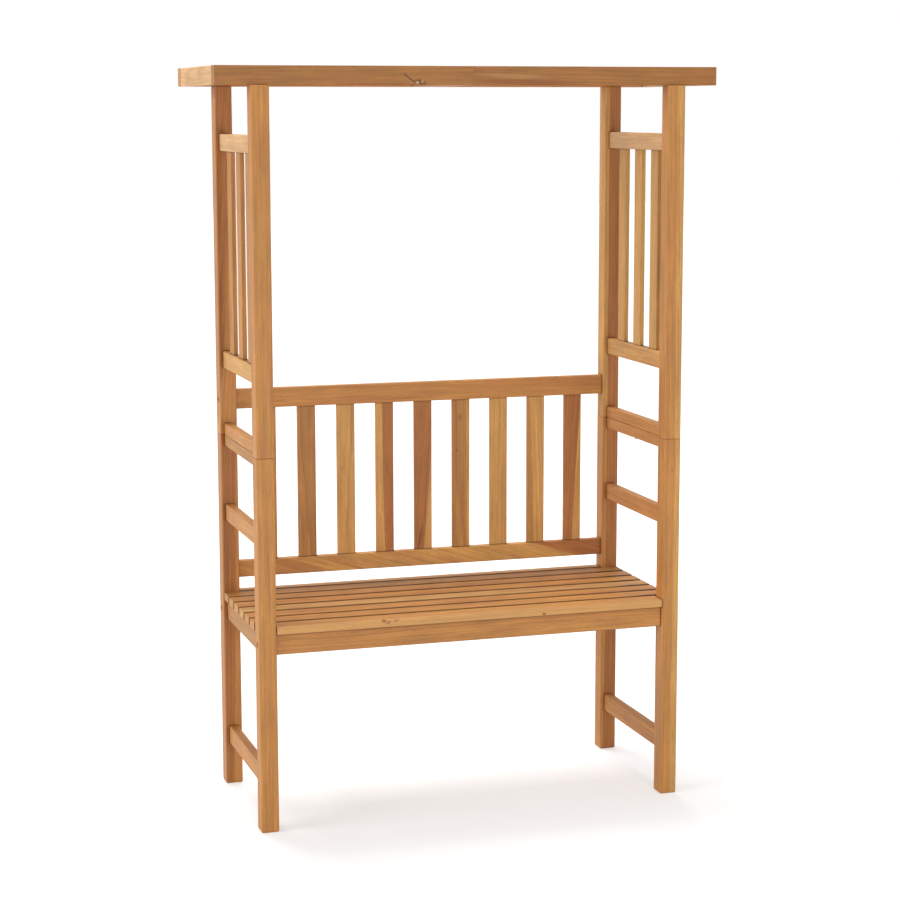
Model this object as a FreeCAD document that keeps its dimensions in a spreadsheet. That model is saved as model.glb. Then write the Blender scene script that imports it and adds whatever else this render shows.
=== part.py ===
"""Teak arbour seat: a slatted garden bench whose four posts carry a flat pergola roof.

The seat knocks down into two lower side frames, two upper side frames, a slatted back,
a slatted seat and a roof in two halves. X runs along the bench, Y to its back, Z up.
The origin is on the ground, under the middle of the four posts. Sizes are millimetres.
"""
import FreeCAD, Part
import math
import os
import re
import Sketcher

doc = FreeCAD.newDocument("ArbourSeat")

# Driving sizes

SIZES = [
    ("overall_height", 1650, "ground to the top of the roof beams"),
    ("roof_length", 1124, "roof beams, end to end"),
    ("frame_width", 974, "over the outer faces of the left and right posts"),
    ("frame_depth", 420, "over the front and rear faces of the posts"),
    ("post_side", 39, "square section of every post"),
    ("post_joint_height", 825.5, "ground to the joint between lower and upper posts"),
    ("edge_ease", 1.5, "small bevel along the long edges of posts and rails"),
    ("foot_bevel", 3, "bevel round the bottom of each foot"),
    ("joint_bevel", 1, "bevel round the ends that meet at the post joint"),
    ("rail_thickness", 20, "all rails, centred on the posts"),
    ("rail_height", 38, "arm rails, panel rails and the bearer"),
    ("stacked_rail_height", 26, "each of the two rails that meet at the post joint"),
    ("stretcher_height", 41, "rail between the feet"),
    ("stretcher_rise", 98, "ground to the underside of the foot stretcher"),
    ("seat_height", 457.5, "ground to the top of the seat slats"),
    ("seat_rail_height", 47, "rails under the seat"),
    ("arm_rail_rise", 206.5, "seat top to the top of the arm rail"),
    ("panel_rise", 153.5, "post joint to the underside of the panel's lower rail"),
    ("panel_drop", 104.5, "top of the panel's top rail to the underside of the roof"),
    ("back_rise", 31, "seat top to the underside of the back"),
    ("back_bottom_rail_height", 38.5, "bottom rail of the back"),
    ("back_top_rail_rise", 56.5, "post joint to the underside of the back's top rail"),
    ("back_top_rail_height", 45, "top rail of the back"),
    ("slat_width", 42.5, "upright and roof slats, flat width"),
    ("slat_thickness", 10, "upright and roof slats"),
    ("slat_ease", 1, "small bevel along the slats' long edges"),
    ("slat_housing", 10, "how far a slat's end is let into its rail"),
    ("back_slat_count", 9, "upright slats in the back"),
    ("panel_slat_count", 3, "upright slats in each side panel"),
    ("seat_slat_thickness", 16.5, "seat slats"),
    ("seat_slat_width", 46.8, "seat slats, except the narrow one at the back"),
    ("seat_slat_count", 7, "full-width seat slats; one narrow slat follows them"),
    ("seat_slat_round", 1.5, "radius along the upper edges of the seat slats"),
    ("seat_slat_inset", 2, "slat ends back from the outer faces of the posts"),
    ("seat_slat_end_gap", 0.5, "play between a slat's end and the post that it meets"),
    ("seat_slat_post_gap", 2.4, "last full-width slat to the rear posts"),
    ("rear_slat_setback", 3, "narrow slat back from the rear faces of the posts"),
    ("tenon_thickness", 10, "all tenons"),
    ("tenon_length", 25, "tenons of the side frames' rails"),
    ("stub_tenon_length", 12, "tenons beside another tenon or a bolt"),
    ("bearer_tenon_length", 8, "tenons of the seat bearer"),
    ("tenon_shoulder", 4, "shoulder above and below each tenon"),
    ("tenon_end_gap", 1, "free space past the end of a tenon, a slat or a screw"),
    ("post_tenon_width", 25, "tenons at both ends of the upper posts"),
    ("post_tenon_length", 30, "tenon of an upper post in the lower one"),
    ("post_tenon_in_beam", 25, "tenon of an upper post in its roof beam"),
    ("beam_thickness", 30, "roof beams"),
    ("beam_height", 40, "roof beams and the boards between them"),
    ("end_board_thickness", 20, "boards that close the two ends of the roof"),
    ("middle_board_thickness", 26, "boards where the two roof halves meet"),
    ("roof_slat_count", 4, "cross slats in each half of the roof"),
    ("roof_slat_drop", 2, "roof slats below the top of the beams"),
    ("bolt_diameter", 6, "bolts through the posts"),
    ("bolt_clearance", 0.5, "bolt hole over bolt, in diameter"),
    ("bolt_head_corners", 11.5, "across the corners of every hexagon head"),
    ("bolt_head_height", 4, "every hexagon head"),
    ("bolt_sink_diameter", 13, "counterbore for a bolt's head"),
    ("bolt_sink_depth", 8, "counterbore for a bolt's head"),
    ("bolt_overrun", 4, "bolt past the axis of its barrel nut"),
    ("barrel_nut_diameter", 10, "barrel nuts in the ends of the bolted rails"),
    ("barrel_nut_length", 16, "barrel nuts in the ends of the bolted rails"),
    ("barrel_nut_setback", 35, "rail's end to the axis of its barrel nut"),
    ("joining_screw_diameter", 6, "screws that join the frames and the roof halves"),
    ("joining_screw_length", 44, "joining screws, under the head"),
    ("joining_screw_spread", 90, "screws between the roof halves, each side of the middle"),
]

# Places worked out from the driving sizes

PLACES = [
    ("post_x", "frame_width / 2 - post_side / 2"),
    ("post_y", "frame_depth / 2 - post_side / 2"),
    ("post_top", "overall_height - beam_height"),
    ("upper_post_length", "post_top - post_joint_height"),
    ("cross_rail_length", "frame_width - 2 * post_side"),
    ("side_rail_length", "frame_depth - 2 * post_side"),
    ("seat_rail_top", "seat_height - seat_slat_thickness"),
    ("seat_rail_bottom", "seat_rail_top - seat_rail_height"),
    ("seat_slat_pitch",
     "(frame_depth - post_side - seat_slat_post_gap - seat_slat_width) / (seat_slat_count - 1)"),
    ("long_slat_length", "frame_width - 2 * seat_slat_inset"),
    ("short_slat_length", "cross_rail_length - 2 * seat_slat_end_gap"),
    ("rear_slat_front", "seat_slat_count * seat_slat_pitch - frame_depth / 2"),
    ("rear_slat_width", "frame_depth / 2 - rear_slat_setback - rear_slat_front"),
    ("rear_slat_y", "rear_slat_front + rear_slat_width / 2"),
    ("arm_rail_bottom", "seat_height + arm_rail_rise - rail_height"),
    ("panel_lower_rail_bottom", "post_joint_height + panel_rise"),
    ("panel_lower_rail_top", "panel_lower_rail_bottom + rail_height"),
    ("panel_top_rail_bottom", "post_top - panel_drop - rail_height"),
    ("back_bottom_rail_bottom", "seat_height + back_rise"),
    ("back_bottom_rail_top", "back_bottom_rail_bottom + back_bottom_rail_height"),
    ("back_top_rail_bottom", "post_joint_height + back_top_rail_rise"),
    ("back_slat_gap",
     "(cross_rail_length - back_slat_count * slat_width) / (back_slat_count + 1)"),
    ("back_slat_pitch", "back_slat_gap + slat_width"),
    ("panel_slat_gap",
     "(side_rail_length - panel_slat_count * slat_width) / (panel_slat_count + 1)"),
    ("panel_slat_pitch", "panel_slat_gap + slat_width"),
    ("beam_length", "roof_length / 2"),
    ("roof_clear_depth", "2 * post_y - beam_thickness"),
    ("roof_bay", "beam_length - end_board_thickness - middle_board_thickness"),
    ("roof_slat_gap", "(roof_bay - roof_slat_count * slat_width) / (roof_slat_count + 1)"),
    ("roof_slat_pitch", "roof_slat_gap + slat_width"),
    ("first_roof_slat_x", "middle_board_thickness + roof_slat_gap + slat_width / 2"),
    ("roof_slat_bottom", "beam_height - roof_slat_drop - slat_thickness"),
    ("bolt_length", "post_side - bolt_sink_depth + barrel_nut_setback + bolt_overrun"),
]


def make_sheet(name, rows):
    """Fills a sheet with one size a row: what it is, then its value under an alias."""
    sheet = doc.addObject("Spreadsheet::Sheet", name)
    for row, (alias, value, note) in enumerate(rows, start=1):
        sheet.set(f"A{row}", note)
        sheet.set(f"B{row}", value)
        sheet.setAlias(f"B{row}", alias)
    return sheet


SHEET_OF = {alias: "Sizes" for alias, value, note in SIZES}
SHEET_OF.update({alias: "Places" for alias, formula in PLACES})


def formula(text):
    """Puts the name of its sheet before each size that the text names."""
    return re.sub(r"[a-z_]+", lambda word: f"{SHEET_OF[word.group()]}.{word.group()}", text)


sizes = make_sheet("Sizes", [(alias, str(value), note) for alias, value, note in SIZES])
doc.recompute()
places = make_sheet("Places", [(alias, "=" + formula(text), text) for alias, text in PLACES])
doc.recompute()


def size(alias):
    """The value of a driving size or of a place, for loops and grouped pieces."""
    return float((sizes if SHEET_OF[alias] == "Sizes" else places).get(alias))


def bind(thing, prop, text):
    """Ties a property of an object to the sheets."""
    thing.setExpression(prop, formula(text))


# Sketches and features that every timber piece is made of

nodes = []
QUARTER_TURN = FreeCAD.Rotation(FreeCAD.Vector(0, 0, 1), 90)
HALF_TURN = FreeCAD.Rotation(FreeCAD.Vector(0, 0, 1), 180)
NO_TURN = FreeCAD.Rotation()


def new_body(name):
    """An empty body for one piece."""
    body = doc.addObject("PartDesign::Body", name)
    body.Label = name
    return body


def new_sketch(body, role, across, up, lift):
    """A sketch on one of the body's own planes, its origin moved to a named place."""
    plane = [feature for feature in body.Origin.OriginFeatures if feature.Role == role][0]
    sketch = body.newObject("Sketcher::SketchObject", body.Name + "_sketch")
    sketch.AttachmentSupport = [(plane, "")]
    sketch.MapMode = "FlatFace"
    bind(sketch, "AttachmentOffset.Base.x", across)
    bind(sketch, "AttachmentOffset.Base.y", up)
    bind(sketch, "AttachmentOffset.Base.z", lift)
    return sketch


def centred_rectangle(sketch, width, height):
    """A rectangle about the sketch's origin."""
    corners = [(-10, -5), (10, -5), (10, 5), (-10, 5)]
    points = [FreeCAD.Vector(x, y, 0) for x, y in corners]
    for start in range(4):
        sketch.addGeometry(Part.LineSegment(points[start], points[(start + 1) % 4]), False)
    for line in range(4):
        sketch.addConstraint(Sketcher.Constraint("Coincident", line, 2, (line + 1) % 4, 1))
    for line, direction in ((0, "Horizontal"), (2, "Horizontal"), (1, "Vertical"), (3, "Vertical")):
        sketch.addConstraint(Sketcher.Constraint(direction, line))
    sketch.addConstraint(Sketcher.Constraint("Symmetric", 0, 1, 1, 2, -1, 1))
    wide = sketch.addConstraint(Sketcher.Constraint("DistanceX", 0, 1, 0, 2, 20))
    tall = sketch.addConstraint(Sketcher.Constraint("DistanceY", 1, 1, 1, 2, 10))
    bind(sketch, f"Constraints[{wide}]", width)
    bind(sketch, f"Constraints[{tall}]", height)


def circle(sketch, diameter):
    """A circle about the sketch's origin."""
    ring = Part.Circle(FreeCAD.Vector(0, 0, 0), FreeCAD.Vector(0, 0, 1), 5)
    sketch.addGeometry(ring, False)
    sketch.addConstraint(Sketcher.Constraint("Coincident", 0, 3, -1, 1))
    across = sketch.addConstraint(Sketcher.Constraint("Diameter", 0, 10))
    bind(sketch, f"Constraints[{across}]", diameter)


def pad(body, sketch, length, both_ways=False):
    """Timber along the sketch's normal."""
    feature = body.newObject("PartDesign::Pad", body.Name + "_pad")
    feature.Profile = sketch
    bind(feature, "Length", length)
    if both_ways:
        feature.SideType = "Symmetric"
    return feature


def pocket(body, sketch, depth, along_normal=False):
    """Cuts against the sketch's normal, or along it."""
    feature = body.newObject("PartDesign::Pocket", body.Name + "_pocket")
    feature.Profile = sketch
    feature.Reversed = along_normal
    bind(feature, "Length", depth)
    return feature


def repeat(body, cut, count, pitch):
    """Copies a cut in a row along its sketch's horizontal axis."""
    row = body.newObject("PartDesign::LinearPattern", body.Name + "_row")
    row.Originals = [cut]
    row.Direction = (cut.Profile[0], ["H_Axis"])
    bind(row, "Occurrences", count)
    bind(row, "Length", f"({count} - 1) * {pitch}")
    body.Tip = row
    return row


def bevel(body, feature, axis, amount, kind="Chamfer"):
    """Bevels, or rounds, the edges of a plain bar that run along the axis.

    Axis is 0, 1 or 2. A round is given only to the two upper edges.
    """
    doc.recompute()
    top = feature.Shape.BoundBox.ZMax
    names = []
    for number, edge in enumerate(feature.Shape.Edges, start=1):
        run = edge.Vertexes[-1].Point - edge.Vertexes[0].Point
        upper = edge.BoundBox.ZMin > top - 0.01
        if abs(abs(run[axis]) - run.Length) < 1e-6 and (kind == "Chamfer" or upper):
            names.append(f"Edge{number}")
    eased = body.newObject(f"PartDesign::{kind}", body.Name + "_ease")
    eased.Base = (feature, names)
    bind(eased, "Size" if kind == "Chamfer" else "Radius", amount)
    return eased


def place_piece(piece, x, y, z, turned=False):
    """Sets a piece in the seat. A turned piece has its length along Y, not X."""
    nodes.append(piece)
    if turned:
        piece.Placement.Rotation = QUARTER_TURN
    bind(piece, "Placement.Base.x", x)
    bind(piece, "Placement.Base.y", y)
    bind(piece, "Placement.Base.z", z)


# Bars

def bar(name, length, thickness, height, ease):
    """A plain bar along X, centred on X and Y, standing on its own XY plane."""
    body = new_body(name)
    section = new_sketch(body, "YZ_Plane", "0", f"{height} / 2", "0")
    centred_rectangle(section, thickness, height)
    timber = pad(body, section, length, both_ways=True)
    bevel(body, timber, 0, ease)
    return body


def tenoned_rail(name, length, height, tenon, thickness="rail_thickness"):
    """A rail between two faces, with a tenon at each end."""
    body = bar(name, length, thickness, height, "edge_ease")
    section = new_sketch(body, "YZ_Plane", "0", f"{height} / 2", "0")
    centred_rectangle(section, "tenon_thickness", f"{height} - 2 * tenon_shoulder")
    pad(body, section, f"{length} + 2 * {tenon}", both_ways=True)
    return body


def slat_housings(rail, height, count, pitch, in_top):
    """A row of mortises for upright slats, in a rail's top or bottom face."""
    lift = height if in_top else "0"
    sketch = new_sketch(rail, "XY_Plane", f"-({count} - 1) * {pitch} / 2", "0", lift)
    centred_rectangle(sketch, "slat_width", "slat_thickness")
    first = pocket(rail, sketch, "slat_housing + tenon_end_gap", along_normal=not in_top)
    repeat(rail, first, count, pitch)


def hole_along_x(body, side, start, height, diameter, depth):
    """A hole that starts at a distance from the middle and runs inwards, along X."""
    sketch = new_sketch(body, "YZ_Plane", "0", height, f"{side} * ({start})")
    circle(sketch, diameter)
    pocket(body, sketch, depth, along_normal=side < 0)


def hole_along_y(body, side, face, x, height, diameter, depth):
    """A hole in the face at that distance from the middle, running inwards, along Y."""
    sketch = new_sketch(body, "XZ_Plane", x, height, f"-{side} * ({face})")
    circle(sketch, diameter)
    pocket(body, sketch, depth, along_normal=side > 0)


def hole_up(body, diameter, depth):
    """A hole straight up from the middle of a piece's underside."""
    sketch = new_sketch(body, "XY_Plane", "0", "0", "0")
    circle(sketch, diameter)
    pocket(body, sketch, depth, along_normal=True)


# Posts

def mortise(post, face, side, bottom, rail_height, tenon):
    """A mortise for a rail's tenon, in the post face that looks along X or Y."""
    role = "YZ_Plane" if face == "x" else "XZ_Plane"
    outward = side if face == "x" else -side
    middle = f"{bottom} + {rail_height} / 2"
    sketch = new_sketch(post, role, "0", middle, f"{outward} * post_side / 2")
    centred_rectangle(sketch, "tenon_thickness", f"{rail_height} - 2 * tenon_shoulder")
    pocket(post, sketch, f"{tenon} + tenon_end_gap", along_normal=outward < 0)


def rail_bolt_hole(post, outer, middle):
    """The hole that a rail bolt takes through a post, sunk for its head outside."""
    hole_along_x(post, outer, "post_side / 2", middle, "bolt_diameter + bolt_clearance",
                 "post_side")
    hole_along_x(post, outer, "post_side / 2", middle, "bolt_sink_diameter", "bolt_sink_depth")


def end_rim(body, timber, at_top, size):
    """Bevels the rim round one end of a square post."""
    doc.recompute()
    ends = timber.Shape.BoundBox
    level = ends.ZMax if at_top else ends.ZMin
    names = [f"Edge{number}" for number, edge in enumerate(timber.Shape.Edges, start=1)
             if abs(edge.BoundBox.ZMin - level) < 0.01 and edge.BoundBox.ZLength < 0.01]
    rim = body.newObject("PartDesign::Chamfer", body.Name + ("_top_rim" if at_top else "_rim"))
    rim.Base = (timber, names)
    bind(rim, "Size", size)
    return rim


def square_post(name, length, bottom_rim, top_rim=None):
    """A post about its own upright axis, bevelled along its edges and round its ends."""
    body = new_body(name)
    section = new_sketch(body, "XY_Plane", "0", "0", "0")
    centred_rectangle(section, "post_side", "post_side")
    timber = pad(body, section, length)
    timber = end_rim(body, timber, False, bottom_rim)
    if top_rim:
        timber = end_rim(body, timber, True, top_rim)
    bevel(body, timber, 2, "edge_ease")
    return body


def lower_post(name, side, end):
    """A leg: foot to post joint. Side is -1 for left, end is -1 for front."""
    post = square_post(name, "post_joint_height", "foot_bevel", "joint_bevel")
    mortise(post, "y", -end, "stretcher_rise", "stretcher_height", "tenon_length")
    mortise(post, "y", -end, "seat_rail_bottom", "seat_rail_height", "stub_tenon_length")
    mortise(post, "y", -end, "arm_rail_bottom", "rail_height", "tenon_length")
    mortise(post, "y", -end, "(post_joint_height - stacked_rail_height)", "stacked_rail_height",
            "stub_tenon_length")
    mortise(post, "x", -side, "seat_rail_bottom", "seat_rail_height", "stub_tenon_length")
    rail_bolt_hole(post, side, "seat_rail_bottom + seat_rail_height / 2")
    if end > 0:
        mortise(post, "x", -side, "back_bottom_rail_bottom", "back_bottom_rail_height",
                "stub_tenon_length")
    top = new_sketch(post, "XY_Plane", "0", "0", "post_joint_height")
    centred_rectangle(top, "post_tenon_width", "tenon_thickness")
    pocket(post, top, "post_tenon_length + tenon_end_gap")
    place_piece(post, f"{side} * post_x", f"{end} * post_y", "0")


def upper_post(name, side, end):
    """The upper length of a post: post joint to the underside of the roof."""
    post = square_post(name, "upper_post_length", "joint_bevel")
    tenons = new_sketch(post, "XY_Plane", "0", "0", "-post_tenon_length")
    centred_rectangle(tenons, "post_tenon_width", "tenon_thickness")
    pad(post, tenons, "post_tenon_length + upper_post_length + post_tenon_in_beam")
    mortise(post, "y", -end, "0", "stacked_rail_height", "stub_tenon_length")
    mortise(post, "y", -end, "(panel_lower_rail_bottom - post_joint_height)", "rail_height",
            "tenon_length")
    mortise(post, "y", -end, "(panel_top_rail_bottom - post_joint_height)", "rail_height",
            "tenon_length")
    if end > 0:
        bottom = "(back_top_rail_bottom - post_joint_height)"
        mortise(post, "x", -side, bottom, "back_top_rail_height", "stub_tenon_length")
        rail_bolt_hole(post, side, f"{bottom} + back_top_rail_height / 2")
    place_piece(post, f"{side} * post_x", f"{end} * post_y", "post_joint_height")


# Side frames

def side_frame(word, side):
    """The rails of a lower and an upper side frame."""
    x = f"{side} * post_x"
    for part, height, bottom, tenon in (
            ("foot_stretcher", "stretcher_height", "stretcher_rise", "tenon_length"),
            ("seat_side_rail", "seat_rail_height", "seat_rail_bottom", "stub_tenon_length"),
            ("arm_rail", "rail_height", "arm_rail_bottom", "tenon_length")):
        rail = tenoned_rail(f"{word}_{part}", "side_rail_length", height, tenon)
        place_piece(rail, x, "0", bottom, turned=True)
    for part, bottom, screw_hole in (
            ("lower_frame_top_rail", "post_joint_height - stacked_rail_height",
             "stacked_rail_height"),
            ("upper_frame_bottom_rail", "post_joint_height",
             "joining_screw_length - stacked_rail_height + tenon_end_gap")):
        rail = tenoned_rail(f"{word}_{part}", "side_rail_length", "stacked_rail_height",
                            "stub_tenon_length")
        hole_up(rail, "joining_screw_diameter", screw_hole)
        place_piece(rail, x, "0", bottom, turned=True)
    for part, bottom, in_top in (("panel_lower_rail", "panel_lower_rail_bottom", True),
                                 ("panel_top_rail", "panel_top_rail_bottom", False)):
        rail = tenoned_rail(f"{word}_{part}", "side_rail_length", "rail_height", "tenon_length")
        slat_housings(rail, "rail_height", "panel_slat_count", "panel_slat_pitch", in_top)
        place_piece(rail, x, "0", bottom, turned=True)


# Seat

def cross_rail(name, height, bottom, y, bolted=True):
    """A rail along the bench, between the side frames. Bolts pull it up to barrel nuts."""
    rail = tenoned_rail(name, "cross_rail_length", height, "stub_tenon_length")
    for end in (-1, 1) if bolted else ():
        hole_along_x(rail, end, "cross_rail_length / 2 + stub_tenon_length", f"{height} / 2",
                     "bolt_diameter + bolt_clearance", "stub_tenon_length + barrel_nut_setback")
        hole_along_y(rail, 1, "rail_thickness / 2",
                     f"{end} * (cross_rail_length / 2 - barrel_nut_setback)", f"{height} / 2",
                     "barrel_nut_diameter", "(rail_thickness + barrel_nut_length) / 2")
    place_piece(rail, "0", y, bottom)
    return rail


def bearer_mortise(rail, inner):
    """The mortise for the bearer, in the inner face of a seat rail."""
    sketch = new_sketch(rail, "XZ_Plane", "0", "seat_rail_height - rail_height / 2",
                        f"-{inner} * rail_thickness / 2")
    centred_rectangle(sketch, "tenon_thickness", "rail_height - 2 * tenon_shoulder")
    pocket(rail, sketch, "bearer_tenon_length + tenon_end_gap", along_normal=inner > 0)


def seat_slat(name, width, length, y):
    """A seat slat with rounded upper edges."""
    body = new_body(name)
    section = new_sketch(body, "YZ_Plane", "0", "seat_slat_thickness / 2", "0")
    centred_rectangle(section, width, "seat_slat_thickness")
    timber = pad(body, section, length, both_ways=True)
    bevel(body, timber, 0, "seat_slat_round", kind="Fillet")
    place_piece(body, "0", y, "seat_rail_top")


def seat():
    """Front and rear rails, the bearer between them, and the slats."""
    for name, y, inner in (("seat_front_rail", "-post_y", 1), ("seat_rear_rail", "post_y", -1)):
        rail = cross_rail(name, "seat_rail_height", "seat_rail_bottom", y)
        bearer_mortise(rail, inner)
    bearer = tenoned_rail("seat_centre_bearer", "2 * post_y - rail_thickness", "rail_height",
                          "bearer_tenon_length")
    place_piece(bearer, "0", "0", "seat_rail_top - rail_height", turned=True)
    for number in range(1, int(size("seat_slat_count")) + 1):
        length = "short_slat_length" if number == 1 else "long_slat_length"
        y = f"{number - 1} * seat_slat_pitch + (seat_slat_width - frame_depth) / 2"
        seat_slat(f"seat_slat_{number}", "seat_slat_width", length, y)
    seat_slat("rear_seat_slat", "rear_slat_width", "short_slat_length", "rear_slat_y")


# Back

def upright_slat(name, bottom, top):
    """A flat slat on end, housed in the rails at its bottom and top."""
    body = new_body(name)
    section = new_sketch(body, "XY_Plane", "0", "0", f"{bottom} - slat_housing")
    centred_rectangle(section, "slat_width", "slat_thickness")
    timber = pad(body, section, f"{top} - {bottom} + 2 * slat_housing")
    bevel(body, timber, 2, "slat_ease")
    return body


def back():
    """A bottom rail, a bolted top rail and the row of upright slats between them."""
    bottom = cross_rail("back_bottom_rail", "back_bottom_rail_height",
                        "back_bottom_rail_bottom", "post_y", bolted=False)
    slat_housings(bottom, "back_bottom_rail_height", "back_slat_count", "back_slat_pitch", True)
    top = cross_rail("back_top_rail", "back_top_rail_height", "back_top_rail_bottom", "post_y")
    slat_housings(top, "back_top_rail_height", "back_slat_count", "back_slat_pitch", False)
    for number in range(1, int(size("back_slat_count")) + 1):
        slat = upright_slat(f"back_slat_{number}", "back_bottom_rail_top", "back_top_rail_bottom")
        place_piece(slat, f"({number} - (back_slat_count + 1) / 2) * back_slat_pitch", "post_y", "0")


# Roof

def beam_mortise(beam, inner, x, width, bottom, height, depth):
    """A mortise in the inner face of a roof beam."""
    sketch = new_sketch(beam, "XZ_Plane", x, f"{bottom} + {height} / 2",
                        f"-{inner} * beam_thickness / 2")
    centred_rectangle(sketch, width, height)
    return pocket(beam, sketch, f"{depth} + tenon_end_gap", along_normal=inner > 0)


def roof_beam(name, side, end):
    """Half of a front or rear beam, from the middle of the roof to its end."""
    body = new_body(name)
    section = new_sketch(body, "YZ_Plane", "0", "beam_height / 2", "0")
    centred_rectangle(section, "beam_thickness", "beam_height")
    timber = pad(body, section, "beam_length")
    bevel(body, timber, 0, "edge_ease")
    inner = 1 if side * end < 0 else -1
    for x in ("middle_board_thickness / 2", "beam_length - end_board_thickness / 2"):
        beam_mortise(body, inner, x, "tenon_thickness", "tenon_shoulder",
                     "(beam_height - 2 * tenon_shoulder)", "stub_tenon_length")
    first = beam_mortise(body, inner, "first_roof_slat_x", "slat_width", "roof_slat_bottom",
                         "slat_thickness", "slat_housing")
    repeat(body, first, "roof_slat_count", "roof_slat_pitch")
    post_mortise = new_sketch(body, "XY_Plane", "post_x", "0", "0")
    centred_rectangle(post_mortise, "post_tenon_width", "tenon_thickness")
    pocket(body, post_mortise, "post_tenon_in_beam + tenon_end_gap", along_normal=True)
    if side < 0:
        body.Placement.Rotation = HALF_TURN
    place_piece(body, "0", f"{end} * post_y", "post_top")


def roof_board(name, thickness, x):
    """A board between the front and the rear beam."""
    board = tenoned_rail(name, "roof_clear_depth", "beam_height", "stub_tenon_length", thickness)
    place_piece(board, x, "0", "post_top", turned=True)
    return board


def middle_board(name, side):
    """One of the two boards that are screwed together in the middle of the roof."""
    board = roof_board(name, "middle_board_thickness", f"{side} * middle_board_thickness / 2")
    depth = ("middle_board_thickness" if side < 0 else
             "joining_screw_length - middle_board_thickness + tenon_end_gap")
    for end in (-1, 1):
        hole_along_y(board, 1, "middle_board_thickness / 2", f"{end} * joining_screw_spread",
                     "beam_height / 2", "joining_screw_diameter", depth)


def roof():
    """Two half frames of beams and boards."""
    for word, side in (("left", -1), ("right", 1)):
        roof_beam(f"front_{word}_roof_beam", side, -1)
        roof_beam(f"rear_{word}_roof_beam", side, 1)
        roof_board(f"{word}_roof_end_board", "end_board_thickness",
                   f"{side} * (roof_length / 2 - end_board_thickness / 2)")
        middle_board(f"{word}_roof_middle_board", side)


# Pieces that share one node

def group(name, pattern, spots):
    """Copies of one piece, each a solid of its own, at places in the seat.

    A spot is a place along X, Y and Z, and a turn.
    """
    copies = []
    for number, (x, y, z, turn) in enumerate(spots, start=1):
        copy = doc.addObject("App::Link", f"{name}_{number}")
        copy.LinkedObject = pattern
        copy.Placement = FreeCAD.Placement(FreeCAD.Vector(0, 0, 0), turn)
        bind(copy, "Placement.Base.x", x)
        bind(copy, "Placement.Base.y", y)
        bind(copy, "Placement.Base.z", z)
        copies.append(copy)
    piece = doc.addObject("Part::Compound", name)
    piece.Label = name
    piece.Links = copies
    nodes.append(piece)


def panel_slats():
    """The upright slats of each side panel."""
    pattern = upright_slat("panel_slat", "panel_lower_rail_top", "panel_top_rail_bottom")
    rows = [f"({number} - (panel_slat_count + 1) / 2) * panel_slat_pitch"
            for number in range(1, int(size("panel_slat_count")) + 1)]
    for word, side in (("left", -1), ("right", 1)):
        group(f"{word}_panel_slats", pattern,
              [(f"{side} * post_x", y, "0", QUARTER_TURN) for y in rows])


def roof_slats():
    """The slats that cross the roof from the front beams to the rear beams."""
    pattern = bar("roof_slat", "roof_clear_depth + 2 * slat_housing", "slat_width",
                  "slat_thickness", "slat_ease")
    group("roof_slats", pattern,
          [(f"{side} * (first_roof_slat_x + {number} * roof_slat_pitch)", "0",
            "post_top + roof_slat_bottom", QUARTER_TURN)
           for side in (-1, 1) for number in range(int(size("roof_slat_count")))])


def hexagon(sketch, across_corners):
    """A hexagon about the sketch's origin, its corners on a circle."""
    radius = 5
    ring = Part.Circle(FreeCAD.Vector(0, 0, 0), FreeCAD.Vector(0, 0, 1), radius)
    sketch.addGeometry(ring, True)
    sketch.addConstraint(Sketcher.Constraint("Coincident", 0, 3, -1, 1))
    across = sketch.addConstraint(Sketcher.Constraint("Diameter", 0, 2 * radius))
    bind(sketch, f"Constraints[{across}]", across_corners)
    corners = [FreeCAD.Vector(radius * math.cos(math.radians(60 * corner)),
                              radius * math.sin(math.radians(60 * corner)), 0)
               for corner in range(6)]
    for side in range(6):
        sketch.addGeometry(Part.LineSegment(corners[side], corners[(side + 1) % 6]), False)
    for line in range(1, 7):
        sketch.addConstraint(Sketcher.Constraint("Coincident", line, 2, line % 6 + 1, 1))
        sketch.addConstraint(Sketcher.Constraint("PointOnObject", line, 1, 0))
    for line in range(2, 7):
        sketch.addConstraint(Sketcher.Constraint("Equal", 1, line))
    sketch.addConstraint(Sketcher.Constraint("PointOnObject", 1, 1, -1))


def round_bar(name, diameter, start, length):
    """A round bar about Z, from a height upwards."""
    body = new_body(name)
    section = new_sketch(body, "XY_Plane", "0", "0", start)
    circle(section, diameter)
    pad(body, section, length)
    return body


def headed_pin(name, diameter, length):
    """A round shank that stands up from its own ground, with a hexagon head below that."""
    pin = round_bar(name, diameter, "0", length)
    head = new_sketch(pin, "XY_Plane", "0", "0", "-bolt_head_height")
    hexagon(head, "bolt_head_corners")
    pad(pin, head, "bolt_head_height")
    return pin


TO_RIGHT = FreeCAD.Rotation(FreeCAD.Vector(0, 1, 0), 90)
TO_LEFT = FreeCAD.Rotation(FreeCAD.Vector(0, 1, 0), -90)
TO_REAR = FreeCAD.Rotation(FreeCAD.Vector(1, 0, 0), -90)

# The middle height, and the place along Y, of each bolted rail
BOLTED_RAILS = [
    ("seat_rail_bottom + seat_rail_height / 2", "-post_y"),
    ("seat_rail_bottom + seat_rail_height / 2", "post_y"),
    ("back_top_rail_bottom + back_top_rail_height / 2", "post_y"),
]


def rail_bolts():
    """Hexagon bolts through the posts into the ends of the bolted rails."""
    bolt = headed_pin("rail_bolt", "bolt_diameter", "bolt_length")
    group("rail_bolts", bolt,
          [(f"{side} * (frame_width / 2 - bolt_sink_depth)", y, z, TO_RIGHT if side < 0 else TO_LEFT)
           for z, y in BOLTED_RAILS for side in (-1, 1)])


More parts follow.
